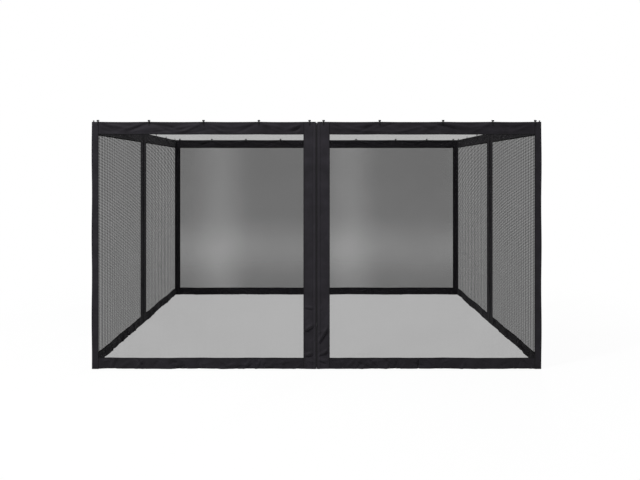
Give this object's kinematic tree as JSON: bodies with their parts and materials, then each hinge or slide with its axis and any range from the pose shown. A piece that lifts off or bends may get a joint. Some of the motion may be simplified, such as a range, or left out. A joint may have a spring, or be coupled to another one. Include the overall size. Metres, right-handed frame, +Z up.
{
  "type": "netting enclosure",
  "caption": "Roofless rectangular net enclosure: black net curtains hang from rail hooks, zip together mid-wall and draw aside to banded corners.",
  "frame": {"origin": "on the ground, in the middle of the plan", "axes": "+Z up, front wall faces -Y, +X to the right seen from the front"},
  "size_m": [3.6714, 3.0614, 2.025],
  "materials": {
    "webbing": "woven black polyester",
    "net": "fine black knitted net",
    "zip_tape": "black zip tape with a plastic chain",
    "hook_plastic": "satin black",
    "slider_metal": "black enamel"
  },
  "bodies": {
    "root": {"corner_band_front_left": "webbing", "corner_band_front_right": "webbing", "corner_band_back_left": "webbing", "corner_band_back_right": "webbing", "corner_hooks": "hook_plastic", "corner_hook_loops": "webbing"},
    "front_left_curtain": {"front_left_net": "net", "front_left_header_and_hem": "webbing", "front_left_zip_band": "webbing", "front_left_zip_half": "zip_tape", "front_left_hooks": "hook_plastic"},
    "front_right_curtain": {"front_right_net": "net", "front_right_header_and_hem": "webbing", "front_right_zip_band": "webbing", "front_right_zip_half": "zip_tape", "front_right_hooks": "hook_plastic"},
    "back_left_curtain": {"back_left_net": "net", "back_left_header_and_hem": "webbing", "back_left_zip_band": "webbing", "back_left_zip_half": "zip_tape", "back_left_hooks": "hook_plastic"},
    "back_right_curtain": {"back_right_net": "net", "back_right_header_and_hem": "webbing", "back_right_zip_band": "webbing", "back_right_zip_half": "zip_tape", "back_right_hooks": "hook_plastic"},
    "left_front_curtain": {"left_front_net": "net", "left_front_header_and_hem": "webbing", "left_front_zip_band": "webbing", "left_front_zip_half": "zip_tape", "left_front_hooks": "hook_plastic"},
    "left_back_curtain": {"left_back_net": "net", "left_back_header_and_hem": "webbing", "left_back_zip_band": "webbing", "left_back_zip_half": "zip_tape", "left_back_hooks": "hook_plastic"},
    "right_front_curtain": {"right_front_net": "net", "right_front_header_and_hem": "webbing", "right_front_zip_band": "webbing", "right_front_zip_half": "zip_tape", "right_front_hooks": "hook_plastic"},
    "right_back_curtain": {"right_back_net": "net", "right_back_header_and_hem": "webbing", "right_back_zip_band": "webbing", "right_back_zip_half": "zip_tape", "right_back_hooks": "hook_plastic"},
    "front_slider": {"front_zip_slider": "slider_metal"},
    "front_outer_pull": {"front_zip_outer_pull": "slider_metal"},
    "front_inner_pull": {"front_zip_inner_pull": "slider_metal"},
    "back_slider": {"back_zip_slider": "slider_metal"},
    "back_outer_pull": {"back_zip_outer_pull": "slider_metal"},
    "back_inner_pull": {"back_zip_inner_pull": "slider_metal"},
    "left_slider": {"left_zip_slider": "slider_metal"},
    "left_outer_pull": {"left_zip_outer_pull": "slider_metal"},
    "left_inner_pull": {"left_zip_inner_pull": "slider_metal"},
    "right_slider": {"right_zip_slider": "slider_metal"},
    "right_outer_pull": {"right_zip_outer_pull": "slider_metal"},
    "right_inner_pull": {"right_zip_inner_pull": "slider_metal"}
  },
  "joints": [
    {"name": "front_left_draw", "type": "slide", "parent": "root", "child": "front_left_curtain", "axis": [-1, 0, 0], "range_m": [0, 1.406], "deforming": ["front_left_net", "front_left_header_and_hem", "front_left_hooks"]},
    {"name": "front_right_draw", "type": "slide", "parent": "root", "child": "front_right_curtain", "axis": [1, 0, 0], "range_m": [0, 1.406], "deforming": ["front_right_net", "front_right_header_and_hem", "front_right_hooks"]},
    {"name": "back_left_draw", "type": "slide", "parent": "root", "child": "back_left_curtain", "axis": [-1, 0, 0], "range_m": [0, 1.406], "deforming": ["back_left_net", "back_left_header_and_hem", "back_left_hooks"]},
    {"name": "back_right_draw", "type": "slide", "parent": "root", "child": "back_right_curtain", "axis": [1, 0, 0], "range_m": [0, 1.406], "deforming": ["back_right_net", "back_right_header_and_hem", "back_right_hooks"]},
    {"name": "left_front_draw", "type": "slide", "parent": "root", "child": "left_front_curtain", "axis": [0, -1, 0], "range_m": [0, 1.15], "deforming": ["left_front_net", "left_front_header_and_hem", "left_front_hooks"]},
    {"name": "left_back_draw", "type": "slide", "parent": "root", "child": "left_back_curtain", "axis": [0, 1, 0], "range_m": [0, 1.15], "deforming": ["left_back_net", "left_back_header_and_hem", "left_back_hooks"]},
    {"name": "right_front_draw", "type": "slide", "parent": "root", "child": "right_front_curtain", "axis": [0, -1, 0], "range_m": [0, 1.15], "deforming": ["right_front_net", "right_front_header_and_hem", "right_front_hooks"]},
    {"name": "right_back_draw", "type": "slide", "parent": "root", "child": "right_back_curtain", "axis": [0, 1, 0], "range_m": [0, 1.15], "deforming": ["right_back_net", "right_back_header_and_hem", "right_back_hooks"]},
    {"name": "front_zip_slide", "type": "slide", "parent": "front_right_curtain", "child": "front_slider", "axis": [0, 0, 1], "range_m": [-0.322, 1.608]},
    {"name": "front_outer_pull_swing", "type": "hinge", "parent": "front_slider", "child": "front_outer_pull", "pos_m": [0, -1.5285, 0.3775], "axis": [-1, 0, 0], "range_deg": [0, 170]},
    {"name": "front_inner_pull_swing", "type": "hinge", "parent": "front_slider", "child": "front_inner_pull", "pos_m": [0, -1.5167, 0.3775], "axis": [1, 0, 0], "range_deg": [0, 170]},
    {"name": "back_zip_slide", "type": "slide", "parent": "back_left_curtain", "child": "back_slider", "axis": [0, 0, 1], "range_m": [-0.322, 1.608]},
    {"name": "back_outer_pull_swing", "type": "hinge", "parent": "back_slider", "child": "back_outer_pull", "pos_m": [0, 1.5285, 0.3775], "axis": [1, 0, 0], "range_deg": [0, 170]},
    {"name": "back_inner_pull_swing", "type": "hinge", "parent": "back_slider", "child": "back_inner_pull", "pos_m": [0, 1.5167, 0.3775], "axis": [-1, 0, 0], "range_deg": [0, 170]},
    {"name": "left_zip_slide", "type": "slide", "parent": "left_front_curtain", "child": "left_slider", "axis": [0, 0, 1], "range_m": [-0.322, 1.608]},
    {"name": "left_outer_pull_swing", "type": "hinge", "parent": "left_slider", "child": "left_outer_pull", "pos_m": [-1.8335, 0, 0.3775], "axis": [0, 1, 0], "range_deg": [0, 170]},
    {"name": "left_inner_pull_swing", "type": "hinge", "parent": "left_slider", "child": "left_inner_pull", "pos_m": [-1.8217, 0, 0.3775], "axis": [0, -1, 0], "range_deg": [0, 170]},
    {"name": "right_zip_slide", "type": "slide", "parent": "right_back_curtain", "child": "right_slider", "axis": [0, 0, 1], "range_m": [-0.322, 1.608]},
    {"name": "right_outer_pull_swing", "type": "hinge", "parent": "right_slider", "child": "right_outer_pull", "pos_m": [1.8335, 0, 0.3775], "axis": [0, -1, 0], "range_deg": [0, 170]},
    {"name": "right_inner_pull_swing", "type": "hinge", "parent": "right_slider", "child": "right_inner_pull", "pos_m": [1.8217, 0, 0.3775], "axis": [0, 1, 0], "range_deg": [0, 170]}
  ]
}
